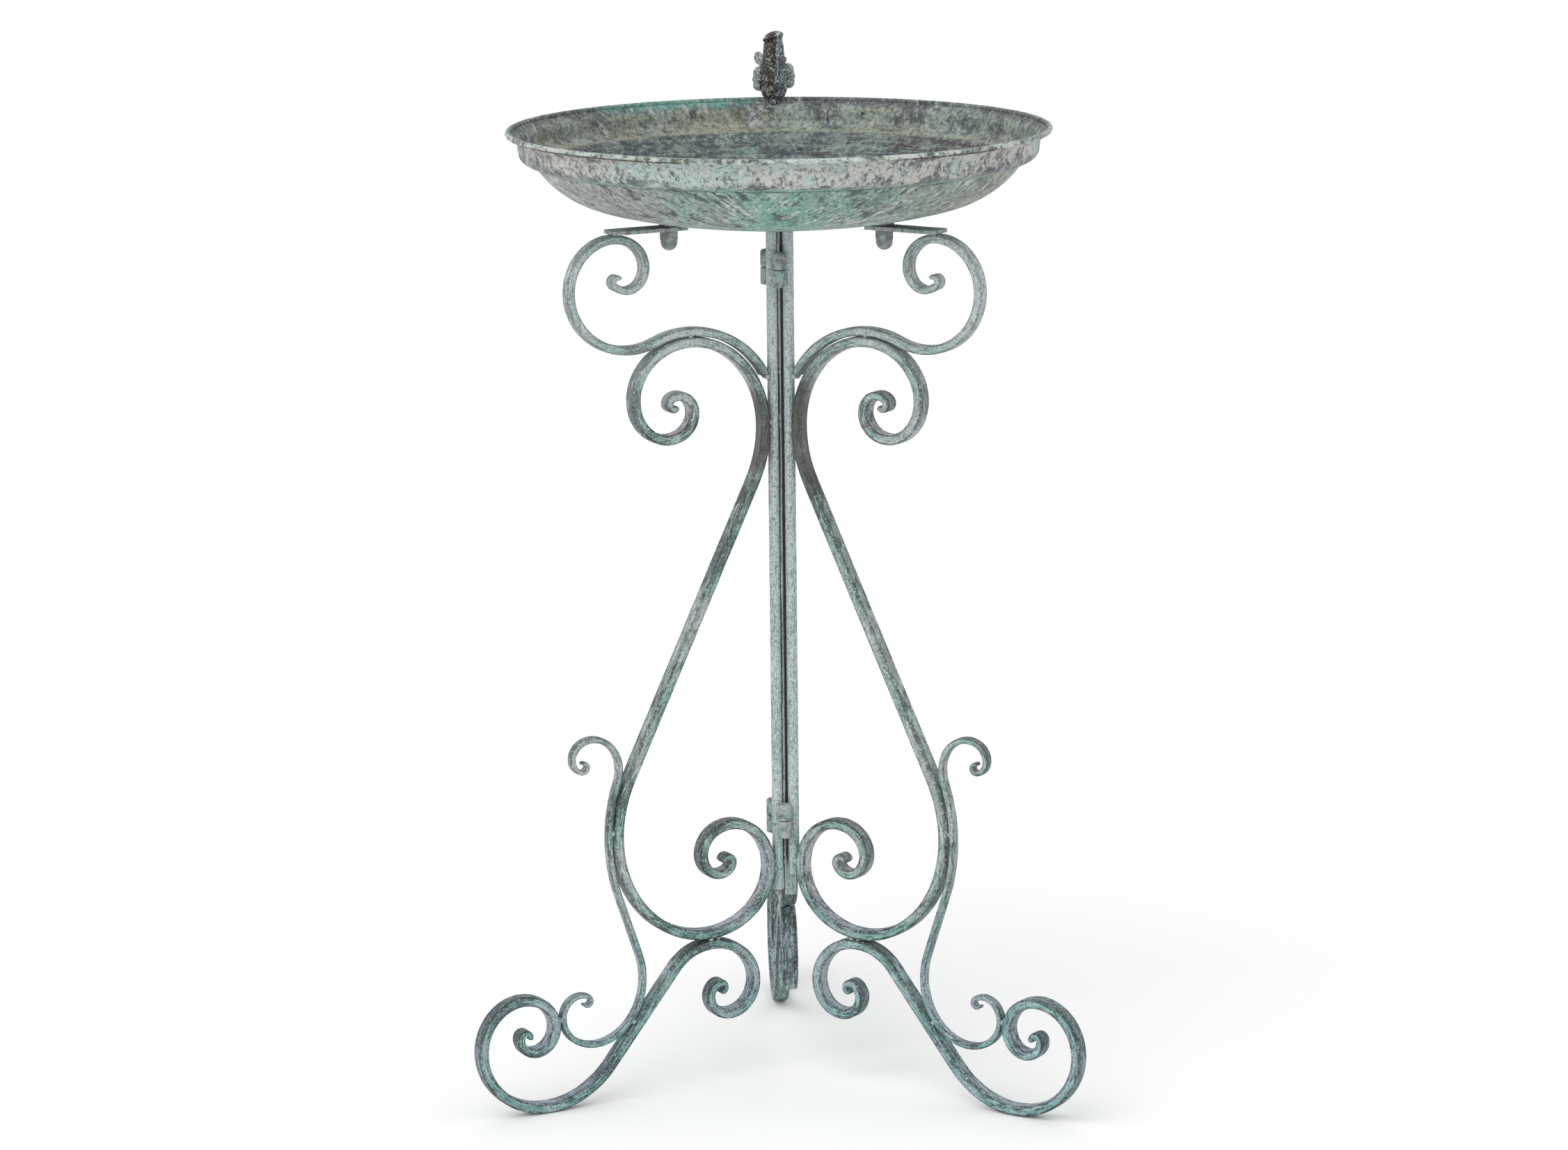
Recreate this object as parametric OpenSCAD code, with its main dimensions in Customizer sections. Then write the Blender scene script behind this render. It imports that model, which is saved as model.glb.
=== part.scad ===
// Bird bath: a stepped spun bowl with a small bird on its rim, on a folding stand of three scroll legs.
// Millimetres. The origin is on the floor under the bowl's axis, +Z is up and the front faces -Y.
// The three posts are hinged in a row, right to left to back, so the stand folds onto its left leg.

/* [Bowl] */
// Diameter over the hem of the lip
bowl_diameter = 410; // [380:1:440]
// Thickness of the spun sheet
sheet = 1.6; // [1.2:0.1:2.2]
// Radius of the hem rolled round the lip
hem_radius = 2.2; // [1.8:0.1:3]
// Straight height of the band between the ledge and the flared lip
band_height = 5; // [3:0.5:12]
// Radius of the flat in the middle of the floor
floor_flat = 38; // [32:1:44]

/* [Legs] */
// Height of the weld between each long scroll and its post, which sizes all the scrolls
weld_height = 512; // [490:1:530]
// Thickness of the bar that the main and foot scrolls are bent from
bar_thick = 8; // [7:0.1:8.8]
// Width of that bar
bar_width = 13; // [10:0.5:14]
// Thickness of the bar of the arm scroll
arm_thick = 7; // [6:0.1:8]
// Width of the arm's bar
arm_width = 11; // [8:0.5:12]
// Thickness of the thin bar of the outer trim scroll
trim_thick = 5; // [4:0.1:6]
// Width of the trim bar
trim_width = 8; // [5:0.5:9]
// Diameter of the round post bars
post_diameter = 9; // [8:0.1:9.4]
// How far the back leg is swung past an even spread, degrees
back_swing = 6; // [0:0.5:7]
// How far the back leg stands to the right of an even spread
back_shift = 3; // [0:0.5:3.5]

/* [Hinges] */
// Diameter of the weld-on hinge barrels
barrel_diameter = 10; // [9:0.1:10.4]
// Length of one barrel
barrel_length = 13; // [10:0.5:16]
// Diameter of the hinge pins
pin_diameter = 5; // [4:0.1:6]
// How far the split in the upper hinges is below the posts' tops
upper_drop = 28; // [22:0.5:60]
// How far the split in the lower hinges is above the lower welds on the posts
lower_rise = 36; // [31:0.5:60]

/* [Fixings] */
// Distance of the bowl's studs from the axis
stud_ring = 92.5; // [90:0.5:96]
// Thickness of the flat tabs under the bowl
tab_thick = 3; // [2.5:0.1:4]
// Width of the tabs
tab_width = 18; // [17:0.5:18]

/* [Bird] */
// Height of the bird above the rim
bird_height = 54; // [46:1:60]
// Where the bird stands round the rim, degrees from +X
bird_turn = 94; // [70:1:110]

/* [Hidden] */

$fn = 64;
verdigris = [0.52, 0.60, 0.57];
zinc = [0.62, 0.64, 0.64];
dark_cast = [0.24, 0.26, 0.26];

// The legs in the order in which they are numbered, and the way each one points.
LEFT = 0;
RIGHT = 1;
BACK = 2;
leg_azimuth = [210, 330, 90];
leg_swing = [0, 0, back_swing];
leg_shift = [[0, 0], [0, 0], [back_shift, 0]];

// The posts stand in a triangle, and each hinge sits outside the gap between two of them.
post_ring = 7;
hinge_ring = 11.8;
front_hinge = [0, -hinge_ring];
side_hinge = hinge_ring * [cos(150), sin(150)];
leg_pivot = [[0, 0], front_hinge, side_hinge];
function post_at(leg) = post_ring * [cos(leg_azimuth[leg]), sin(leg_azimuth[leg])] + leg_shift[leg];

// Bends are [start radius, end radius, turn in degrees], each tightening evenly from one radius to the
// other, and a straight is [length, 0, 0]. They are drawn for a weld at 512 mm and grow with it.
size = weld_height / 512;
bend_step = 6;
tip_share = 0.48;
tip_steps = 60;
weld_gap = 0.25;
weld_diameter = 8;

function sized(bend) = [bend[0] * size, bend[1] * size, bend[2]];

// Every eye ends in a tight roll.
bar_roll = sized([4.9, 2.7, 220]);
arm_roll = sized([4.6, 2.5, 235]);
trim_roll = sized([4.6, 2.4, 245]);
function mirrored(bend) = [bend[0], bend[1], -bend[2]];
function stepped(p, r, turn) =
    let (run = 2 * r * sin(abs(turn) / 2), way = p[2] + turn / 2)
    [p[0] + run * cos(way), p[1] + run * sin(way), p[2] + turn];
function bend_points(start, bend) =
    bend[2] == 0
    ? [start, [start[0] + bend[0] * cos(start[2]), start[1] + bend[0] * sin(start[2]), start[2]]]
    : let (n = ceil(abs(bend[2]) / bend_step), turn = bend[2] / n)
      [for (i = 0, p = start; i <= n;
            p = stepped(p, bend[0] * pow(bend[1] / bend[0], (i + 0.5) / n), turn), i = i + 1) p];
function last(list) = list[len(list) - 1];
function tail(list) = [for (i = [1 : len(list) - 1]) list[i]];
function path(start, bends, i = 0) =
    let (run = bend_points(start, bends[i]))
    i == len(bends) - 1 ? run : concat(run, tail(path(last(run), bends, i + 1)));
function turned(p) = [p[0], p[1], p[2] + 180];
function reversed(points) = [for (i = [len(points) - 1 : -1 : 0]) turned(points[i])];
function joined(inward, outward) = concat(reversed(inward), tail(outward));
function at_heading(points, way) = [for (p = points) if (abs(p[2] - way) <= 0.51 * bend_step) p][0];
function beside(p, distance) = [p[0] - distance * sin(p[2]), p[1] + distance * cos(p[2]), p[2]];

// Main scroll: the long S. It touches its post twice, and the straight run's length brings it back there.
post_face = post_ring + post_diameter / 2;
contact = post_face + weld_gap + bar_thick / 2;
run_lean = 26.25;
main_join = sized([95, 95, run_lean]);
main_loop = sized([112.7, 40, -(run_lean + 180)]);
join_out = last(bend_points([0, 0, -90], main_join))[0];
loop_out = last(bend_points([0, 0, run_lean - 90], main_loop))[0];
main_run = [-(join_out + loop_out) / sin(run_lean), 0, 0];
main_upper = path([contact, weld_height, 90], [sized([79.4, 8.8, -496]), mirrored(bar_roll)]);
run_points = path([contact, weld_height, -90], [main_join, main_run]);
loop_points = bend_points(last(run_points), main_loop);
lower_contact = last(loop_points);
curl_points = path(lower_contact, [sized([42.6, 8.9, -345]), mirrored(bar_roll)]);
main_line = joined(main_upper, concat(run_points, tail(loop_points), tail(curl_points)));

// Arm scroll: rides over the top of the main scroll, butts on the post and carries the tab on its outer loop.
main_top = at_heading(main_upper, 0);
arm_seat = beside(main_top, (bar_thick + arm_thick) / 2 + weld_gap);
arm_contact = post_face + weld_gap + arm_thick / 2;
crest_radius = 71.6 * size;
crest_dip = 23.5;
crest_turn = asin((arm_seat[0] - arm_contact) / crest_radius);
arm_inward = path(turned(arm_seat), [[crest_radius, crest_radius, crest_turn]]);
crest_out = path(arm_seat, [[crest_radius, crest_radius, -crest_dip]]);
arm_hook = [sized([29, 11.2, 206]), sized([4.5, 0, 0]), arm_roll];
arm_loop = path(last(crest_out), concat([sized([55.4, 33.3, crest_dip + 180])], arm_hook));
arm_line = joined(arm_inward, concat(crest_out, tail(arm_loop)));
arm_top = at_heading(arm_loop, 180);

// Foot scroll: hangs under the main scroll's loop. Its straight run is as long as it takes to meet the floor.
foot_weld = at_heading(loop_points, -181);
foot_seat = beside(foot_weld, bar_thick + weld_gap);
foot_lean = 51;
foot_curl = sized([75.2, 9.8, 506]);
foot_inward = path(foot_seat, [sized([42.3, 9.5, 338]), bar_roll]);
shoulder_turn = -(foot_lean + foot_seat[2] + 180);
shoulder = path(turned(foot_seat), [[40 * size, 40 * size, shoulder_turn]]);
curl_low = min([for (p = bend_points([0, 0, -foot_lean], foot_curl)) p[1] - bar_thick / 2 * cos(p[2])]);
foot_run = [(last(shoulder)[1] + curl_low) / sin(foot_lean), 0, 0];
foot_outward = path(last(shoulder), [foot_run, foot_curl, bar_roll]);
foot_line = joined(foot_inward, concat(shoulder, tail(foot_outward)));

// Trim scroll: a thin bar welded to the waist of the main scroll, whose lower loop rests on the foot's run.
waist = at_heading(loop_points, -90);
trim_seat = beside(waist, (bar_thick + trim_thick) / 2 + weld_gap);
trim_hug = 135 * size;
trim_sway = 18.7;
trim_rise = 18.3 - 90 - trim_seat[2];
trim_top = [[trim_hug, trim_hug, trim_rise], sized([3, 0, 0]), sized([33.1, 8.2, -272]), mirrored(trim_roll)];
trim_upper = path(turned(trim_seat), trim_top);
trim_hugging = path(trim_seat, [[trim_hug, trim_hug, -(90 + trim_sway + trim_seat[2])]]);
trim_loop = sized([64.2, 18.8, 180 + trim_sway]);
trim_hook = [sized([18.8, 12.2, 108]), sized([1.5, 0, 0]), trim_roll];
trim_low = at_heading(bend_points([0, 0, -90 - trim_sway], trim_loop), -foot_lean);
trim_reach = (bar_thick + trim_thick) / 2 + weld_gap;
function above_run(p) =
    let (from = last(shoulder))
    (p[0] - from[0]) * sin(foot_lean) + (p[1] - from[1]) * cos(foot_lean);
trim_end = last(trim_hugging);
trim_spare = above_run([trim_end[0] + trim_low[0], trim_end[1] + trim_low[1]]) - trim_reach;
trim_drop = [trim_spare / sin(trim_sway + 90 - foot_lean), 0, 0];
trim_lower = path(trim_end, concat([trim_drop, trim_loop], trim_hook));
trim_line = joined(trim_upper, concat(trim_hugging, tail(trim_lower)));
trim_rest = at_heading(trim_lower, -foot_lean);
trim_side = at_heading(trim_lower, 90);

// Tabs, studs and bowl heights follow from the arm's top.
tab_under = arm_top[1] + arm_thick / 2 + weld_gap;
tab_top = tab_under + tab_thick;
tab_margin = 12;
tab_overhang = 3;
tab_inner = stud_ring - tab_margin;
tab_outer = arm_top[0] + tab_overhang;
stud_diameter = 8;
stud_play = 0.75;
slot_lean = 9.5;
slot_width = 10.5;
nut_flats = 13;
nut_hex = 6.5;
nut_dome = 8.5;
dome_diameter = 12.5;
seat_play = 0.3;

// Bowl: its outer face as a chain of bends from the middle of the floor to the hem round the lip. The floor's
// and basin's bends keep their proportions and fill the width between the floor's flat and the ledge.
floor_turn = 14.7;
basin_turn = 39.3;
basin_share = 0.197;
step_share = 0.015;
ledge_lean = 23;
ledge_width = 7.1;
wall_lean = 84;
wall_curve = 7.7;
lip_lean = 40;
lip_curve = 8;
lip_width = 6.2;
function even(r, turn) = [r, r, turn];
function basin_bends(r) = [
    even(r, floor_turn),
    even(r * basin_share, basin_turn),
    even(r * step_share, ledge_lean - floor_turn - basin_turn)
];
wall_bend = even(wall_curve, wall_lean - ledge_lean);
lip_bends = [[band_height, 0, 0], even(lip_curve, lip_lean - wall_lean), [lip_width, 0, 0]];
wall_out = last(bend_points([0, 0, ledge_lean], wall_bend))[0];
lip_out = beside(last(path([0, 0, wall_lean], lip_bends)), sheet / 2)[0] + hem_radius;
ledge_out = bowl_diameter / 2 - lip_out - wall_out;
basin_out = ledge_out - ledge_width * cos(ledge_lean);
floor_radius = (basin_out - floor_flat) / last(path([0, 0, 0], basin_bends(1)))[0];
floor_rise = floor_radius - sqrt(pow(floor_radius, 2) - pow(tab_inner - floor_flat, 2));
bowl_low = tab_top + seat_play - floor_rise;
basin = path([0, bowl_low, 0], concat([[floor_flat, 0, 0]], basin_bends(floor_radius)));
ledge = path(last(basin), [[ledge_width, 0, 0], wall_bend]);
lip = path(last(ledge), lip_bends);
bowl_line = concat(basin, tail(ledge), tail(lip));
hem = beside(last(lip), sheet / 2);
hem_centre = [hem[0], hem[1]];
rim_top = hem[1] + hem_radius;

// The posts end at different heights below their lower welds.
post_tail = [20, 7.5, 27.5];
post_clear = 8;
post_high = bowl_low - post_clear;
upper_hinge = post_high - upper_drop;
lower_hinge = lower_contact[1] + lower_rise;

module on_leg(leg) {
    translate(leg_pivot[leg])
        rotate(leg_swing[leg])
            translate(leg_shift[leg] - leg_pivot[leg])
                rotate(leg_azimuth[leg])
                    children();
}

// The flat outline of a bar bent along a line, thinner toward each end that is an eye.
module bar_outline(line, thick, eyes) {
    n = len(line) - 1;
    grow = [for (i = [0 : n]) min(1, eyes[0] ? i / tip_steps : 1, eyes[1] ? (n - i) / tip_steps : 1)];
    half = [for (g = grow) thick / 2 * (tip_share + (1 - tip_share) * g)];
    one_side = [for (i = [0 : n]) beside(line[i], half[i])];
    other_side = [for (i = [n : -1 : 0]) beside(line[i], -half[i])];
    polygon([for (p = concat(one_side, other_side)) [p[0], p[1]]]);
}

// Stands a flat outline up in the leg's plane, with its width across that plane.
module upright(width) {
    rotate([90, 0, 0])
        linear_extrude(height = width, center = true)
            children();
}

module main_outline() {
    bar_outline(main_line, bar_thick, [true, true]);
}

module arm_outline() {
    bar_outline(arm_line, arm_thick, [false, true]);
}

module foot_outline() {
    bar_outline(foot_line, bar_thick, [true, true]);
}

module trim_outline() {
    bar_outline(trim_line, trim_thick, [true, true]);
}

module post(leg) {
    low = lower_contact[1] - post_tail[leg];
    translate([post_ring, 0, low])
        cylinder(d = post_diameter, h = post_high - low);
}

// Tab: a flat with a stud hole, or with a slot whose mouth trails behind when the leg swings away.
module tab(mouth) {
    difference() {
        translate([tab_inner, -tab_width / 2, tab_under])
            cube([tab_outer - tab_inner, tab_width, tab_thick]);
        translate([stud_ring, 0, tab_under - 1])
            cylinder(d = stud_diameter + 2 * stud_play, h = tab_thick + 2);
        if (mouth != 0)
            translate([stud_ring, 0, tab_under - 1])
                rotate(slot_lean * mouth)
                    translate([-slot_width / 2, min(0, mouth * tab_width)])
                        cube([slot_width, tab_width, tab_thick + 2]);
    }
}

// Welds: a bead at each place where two bars touch, filling the wedge between them.
weld_places = [
    [post_face + 2, weld_height],
    [post_face + 2, lower_contact[1]],
    [post_face + 3, last(arm_inward)[1] - 2],
    beside(main_top, bar_thick / 2),
    [arm_top[0], tab_under - 1.5],
    beside(foot_weld, bar_thick / 2),
    beside(waist, bar_thick / 2),
    beside(trim_rest, -trim_thick / 2),
    beside(trim_side, -trim_thick / 2)
];

module welds() {
    upright(trim_width - 1)
        difference() {
            for (p = weld_places)
                translate([p[0], p[1]])
                    circle(d = weld_diameter, $fn = 12);
            main_outline();
            arm_outline();
            foot_outline();
            trim_outline();
            translate([tab_inner, tab_under])
                square([tab_outer - tab_inner, tab_thick]);
            square([post_face + 0.05, post_high]);
        }
}

// A strip of weld that ties a hinge barrel to the post beside it.
module barrel_weld(leg, pivot, low) {
    post = post_at(leg);
    span = post - pivot;
    strip_width = 5;
    difference() {
        translate([pivot[0], pivot[1], low + 1])
            rotate(atan2(span[1], span[0]))
                translate([0, -strip_width / 2, 0])
                    cube([norm(span), strip_width, barrel_length - 2]);
        translate([pivot[0], pivot[1], low])
            cylinder(d = barrel_diameter, h = barrel_length);
        translate([post[0], post[1], low])
            cylinder(d = post_diameter, h = barrel_length);
    }
}

// Hinges: a fixed lower barrel that holds the pin and a moving upper barrel that turns on it.
hinge_split = 0.6;
pin_play = 0.05;
pin_reach = barrel_length - 3;

module hinge_fixed(pivot, split) {
    translate([pivot[0], pivot[1], split - hinge_split / 2 - barrel_length])
        difference() {
            cylinder(d = barrel_diameter, h = barrel_length);
            translate([0, 0, 2])
                cylinder(d = pin_diameter, h = barrel_length);
        }
}

module hinge_moving(pivot, split) {
    crown = 1.5;
    translate([pivot[0], pivot[1], split + hinge_split / 2])
        difference() {
            union() {
                cylinder(d = barrel_diameter, h = barrel_length - crown);
                translate([0, 0, barrel_length - crown])
                    cylinder(d1 = barrel_diameter, d2 = barrel_diameter - 2 * crown, h = crown);
            }
            translate([0, 0, -1])
                cylinder(d = pin_diameter + 2 * pin_play, h = pin_reach + 1.5);
        }
}

module hinge_pin(pivot, split) {
    low = split - hinge_split / 2 - barrel_length + 2;
    translate([pivot[0], pivot[1], low])
        cylinder(d = pin_diameter, h = split + hinge_split / 2 + pin_reach - low);
}

// Everything under the bowl's outer face, for trimming what is welded to it.
module under_bowl() {
    rotate_extrude($fn = 128)
        polygon(concat([for (p = basin) [p[0], p[1]]], [[last(basin)[0], 0], [0, 0]]));
}

module stud() {
    collar_diameter = 15;
    collar_high = 20;
    nut_thread = nut_hex + 3;
    intersection() {
        union() {
            translate([stud_ring, 0, tab_under - nut_thread])
                cylinder(d = stud_diameter, h = nut_thread + tab_thick + collar_high);
            translate([stud_ring, 0, tab_top + seat_play])
                cylinder(d = collar_diameter, h = collar_high);
        }
        under_bowl();
    }
}

module cap_nut() {
    thread_depth = nut_hex + 4;
    translate([stud_ring, 0, tab_under - seat_play])
        mirror([0, 0, 1])
            difference() {
                union() {
                    cylinder(d = nut_flats / cos(30), h = nut_hex, $fn = 6);
                    intersection() {
                        translate([0, 0, nut_hex + nut_dome - dome_diameter / 2])
                            sphere(d = dome_diameter);
                        translate([0, 0, nut_hex + 2.25])
                            cylinder(d = dome_diameter + 1, h = nut_dome);
                    }
                    translate([0, 0, nut_hex])
                        cylinder(d = dome_diameter, h = 2.25);
                }
                translate([0, 0, -1])
                    cylinder(d = stud_diameter, h = thread_depth + 1);
            }
}

module bowl_profile() {
    inner_line = [for (p = bowl_line) beside(p, sheet)];
    floor_middle = [[0, bowl_low + sheet]];
    polygon(concat([for (p = bowl_line) [p[0], p[1]]],
                   [for (i = [len(inner_line) - 1 : -1 : 1]) [inner_line[i][0], inner_line[i][1]]],
                   floor_middle));
    hem_section();
}

module hem_section() {
    translate(hem_centre)
        circle(r = hem_radius, $fn = 32);
}

// The saddle's place on the lip, and everything under the lip's inner face, which the saddle is cut to.
perch_inset = 3;
saddle_diameter = 16;
saddle_tip = 8;
saddle_high = 3;
saddle_low = 5;

module on_rim() {
    rotate(bird_turn - 90)
        translate([0, hem[0] - perch_inset, rim_top])
            children();
}

module under_lip() {
    outside = bowl_diameter / 2 + saddle_diameter;
    lip_face = [for (p = concat(ledge, tail(lip))) beside(p, sheet)];
    rotate_extrude($fn = 128) {
        polygon(concat([for (p = lip_face) [p[0], p[1]]],
                       [[outside, hem[1]], [outside, bowl_low], [lip_face[0][0], bowl_low]]));
        hem_section();
    }
}

// Bird: body of revolution leaning forward, round head turned to one side, splayed wings and a cocked tail.
bird_drawn = 47.3;
bird_scale = (bird_height - saddle_high) / bird_drawn;
bird_sole = 2.5;
body_lean = 8;
body_rings = [[0, 1], [7.4, 1], [9.2, 8], [10.3, 14], [9.8, 22], [8.6, 29], [7.5, 36], [7.2, 41]];
head_radius = 6.6;
head_at = [0.4, -7.2, 43.2];

module bird_body() {
    rotate([body_lean, 0, 0])
        rotate_extrude($fn = 48)
            polygon(concat(body_rings, [[0, 44]]));
}

module bird_head() {
    translate(head_at) {
        sphere(r = head_radius, $fn = 48);
        rotate([100, 0, -52])
            cylinder(r1 = 3.6, r2 = 0.8, h = 10.5, $fn = 24);
    }
}

module bird_wing(side) {
    lobes = [[0, 0, 6.5], [4.5, -5, 5.2], [8.5, -9, 4]];
    translate([side * 10.2, 2, 18])
        rotate([-24, 0, side * 34])
            rotate([90, 0, 90])
                linear_extrude(height = 3.4, center = true)
                    for (lobe = lobes)
                        translate([lobe[0], lobe[1]])
                            circle(r = lobe[2], $fn = 32);
}

module bird_tail() {
    translate([-2, 6, 12])
        rotate([-40, -20, 0])
            rotate([90, 0, 0])
                linear_extrude(height = 3, center = true)
                    union() {
                        polygon([[-2.5, 0], [2.5, 0], [5, 24], [-5, 24]]);
                        translate([0, 24])
                            circle(r = 5, $fn = 32);
                    }
}

module left_post() color(verdigris) on_leg(LEFT) post(LEFT);
module left_arm_scroll() color(verdigris) on_leg(LEFT) upright(arm_width) arm_outline();
module left_main_scroll() color(verdigris) on_leg(LEFT) upright(bar_width) main_outline();
module left_foot_scroll() color(verdigris) on_leg(LEFT) upright(bar_width) foot_outline();
module left_trim_scroll() color(verdigris) on_leg(LEFT) upright(trim_width) trim_outline();
module left_tab() color(verdigris) on_leg(LEFT) tab(0);
module left_welds() color(verdigris) {
    on_leg(LEFT) welds();
    for (split = [upper_hinge, lower_hinge]) {
        barrel_weld(LEFT, front_hinge, split - hinge_split / 2 - barrel_length);
        barrel_weld(LEFT, side_hinge, split - hinge_split / 2 - barrel_length);
    }
}

module right_post() color(verdigris) on_leg(RIGHT) post(RIGHT);
module right_arm_scroll() color(verdigris) on_leg(RIGHT) upright(arm_width) arm_outline();
module right_main_scroll() color(verdigris) on_leg(RIGHT) upright(bar_width) main_outline();
module right_foot_scroll() color(verdigris) on_leg(RIGHT) upright(bar_width) foot_outline();
module right_trim_scroll() color(verdigris) on_leg(RIGHT) upright(trim_width) trim_outline();
module right_tab() color(verdigris) on_leg(RIGHT) tab(1);
module right_welds() color(verdigris) {
    on_leg(RIGHT) welds();
    for (split = [upper_hinge, lower_hinge])
        barrel_weld(RIGHT, front_hinge, split + hinge_split / 2);
}

module back_post() color(verdigris) on_leg(BACK) post(BACK);
module back_arm_scroll() color(verdigris) on_leg(BACK) upright(arm_width) arm_outline();
module back_main_scroll() color(verdigris) on_leg(BACK) upright(bar_width) main_outline();
module back_foot_scroll() color(verdigris) on_leg(BACK) upright(bar_width) foot_outline();
module back_trim_scroll() color(verdigris) on_leg(BACK) upright(trim_width) trim_outline();
module back_tab() color(verdigris) on_leg(BACK) tab(-1);
module back_welds() color(verdigris) {
    on_leg(BACK) welds();
    translate(side_hinge)
        rotate(back_swing)
            translate(-side_hinge)
                for (split = [upper_hinge, lower_hinge])
                    barrel_weld(BACK, side_hinge, split + hinge_split / 2);
}

module front_upper_barrel_fixed() color(verdigris) hinge_fixed(front_hinge, upper_hinge);
module front_upper_barrel_moving() color(verdigris) hinge_moving(front_hinge, upper_hinge);
module front_upper_pin() color(zinc) hinge_pin(front_hinge, upper_hinge);
module front_lower_barrel_fixed() color(verdigris) hinge_fixed(front_hinge, lower_hinge);
module front_lower_barrel_moving() color(verdigris) hinge_moving(front_hinge, lower_hinge);
module front_lower_pin() color(zinc) hinge_pin(front_hinge, lower_hinge);
module side_upper_barrel_fixed() color(verdigris) hinge_fixed(side_hinge, upper_hinge);
module side_upper_barrel_moving() color(verdigris) hinge_moving(side_hinge, upper_hinge);
module side_upper_pin() color(zinc) hinge_pin(side_hinge, upper_hinge);
module side_lower_barrel_fixed() color(verdigris) hinge_fixed(side_hinge, lower_hinge);
module side_lower_barrel_moving() color(verdigris) hinge_moving(side_hinge, lower_hinge);
module side_lower_pin() color(zinc) hinge_pin(side_hinge, lower_hinge);

module bowl() color(verdigris) rotate_extrude($fn = 128) bowl_profile();
module left_stud() color(zinc) on_leg(LEFT) stud();
module right_stud() color(zinc) on_leg(RIGHT) stud();
module back_stud() color(zinc) on_leg(BACK) stud();
module left_cap_nut() color(zinc) on_leg(LEFT) cap_nut();
module right_cap_nut() color(zinc) on_leg(RIGHT) cap_nut();
module back_cap_nut() color(zinc) on_leg(BACK) cap_nut();

module bird_saddle() color(dark_cast)
    difference() {
        on_rim()
            translate([0, 0, -saddle_low])
                cylinder(d1 = saddle_tip, d2 = saddle_diameter, h = saddle_low + saddle_high);
        under_lip();
    }

module bird() color(dark_cast)
    on_rim()
        translate([0, 0, saddle_high - bird_sole * bird_scale])
            scale(bird_scale)
                difference() {
                    union() {
                        bird_body();
                        bird_head();
                        bird_wing(-1);
                        bird_wing(1);
                        bird_tail();
                    }
                    translate([-saddle_diameter, -saddle_diameter, bird_sole - saddle_diameter])
                        cube([2 * saddle_diameter, 2 * saddle_diameter, saddle_diameter]);
                }

left_post();
left_arm_scroll();
left_main_scroll();
left_foot_scroll();
left_trim_scroll();
left_tab();
left_welds();
right_post();
right_arm_scroll();
right_main_scroll();
right_foot_scroll();
right_trim_scroll();
right_tab();
right_welds();
back_post();
back_arm_scroll();
back_main_scroll();
back_foot_scroll();
back_trim_scroll();
back_tab();
back_welds();
front_upper_barrel_fixed();
front_upper_barrel_moving();
front_upper_pin();
front_lower_barrel_fixed();
front_lower_barrel_moving();
front_lower_pin();
side_upper_barrel_fixed();
side_upper_barrel_moving();
side_upper_pin();
side_lower_barrel_fixed();
side_lower_barrel_moving();
side_lower_pin();
bowl();
left_stud();
right_stud();
back_stud();
left_cap_nut();
right_cap_nut();
back_cap_nut();
bird_saddle();
bird();
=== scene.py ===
import math
import bmesh
import bpy
import numpy as np
from mathutils import Matrix, Vector


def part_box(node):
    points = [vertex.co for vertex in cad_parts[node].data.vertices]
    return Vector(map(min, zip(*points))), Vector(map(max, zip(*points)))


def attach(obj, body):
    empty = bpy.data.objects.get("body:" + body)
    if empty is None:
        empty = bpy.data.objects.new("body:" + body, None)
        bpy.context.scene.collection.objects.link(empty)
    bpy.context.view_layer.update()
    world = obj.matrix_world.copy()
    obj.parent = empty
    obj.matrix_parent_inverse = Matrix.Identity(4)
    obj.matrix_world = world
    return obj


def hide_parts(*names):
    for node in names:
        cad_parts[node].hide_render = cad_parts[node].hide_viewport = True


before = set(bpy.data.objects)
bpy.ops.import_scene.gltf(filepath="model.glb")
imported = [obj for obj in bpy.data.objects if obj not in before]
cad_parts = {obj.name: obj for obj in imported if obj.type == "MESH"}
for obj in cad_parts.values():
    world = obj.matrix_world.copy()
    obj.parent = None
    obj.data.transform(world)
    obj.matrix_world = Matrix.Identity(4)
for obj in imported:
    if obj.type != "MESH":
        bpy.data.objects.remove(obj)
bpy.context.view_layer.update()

# Posts: three lengths of 9 mm round bar, one for each leg, standing close together under the bowl.
# They are hot-rolled steel, sawn off square, painted with the legs in a grey-green verdigris finish.
# Each leg's scrolls are welded along the outside of its post.


class Wire:
    """An output socket that plain arithmetic and any other node can be chained from."""

    def __init__(self, tree, socket):
        self.tree, self.socket = tree, socket

    def node(self, kind, settings=None, inputs=None, out=0):
        made = self.tree.nodes.new(kind)
        for key, value in (settings or {}).items():
            setattr(made, key, value)
        for key, value in (inputs or {}).items():
            if isinstance(value, Wire):
                self.tree.links.new(value.socket, made.inputs[key])
            else:
                made.inputs[key].default_value = value
        return Wire(self.tree, made.outputs[out])

    def math(self, operation, a, b):
        return self.node("ShaderNodeMath", {"operation": operation}, {0: a, 1: b})

    def __add__(self, other):
        return self.math("ADD", self, other)

    __radd__ = __add__

    def __sub__(self, other):
        return self.math("SUBTRACT", self, other)

    def __rsub__(self, other):
        return self.math("SUBTRACT", other, self)

    def __mul__(self, other):
        return self.math("MULTIPLY", self, other)

    __rmul__ = __mul__

    def __truediv__(self, other):
        return self.math("DIVIDE", self, other)

    def step(self, low, high):
        """0 below low, 1 above high, smooth between."""
        smooth = {"interpolation_type": "SMOOTHSTEP"}
        return self.node("ShaderNodeMapRange", smooth, {0: self, 1: low, 2: high})


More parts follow.
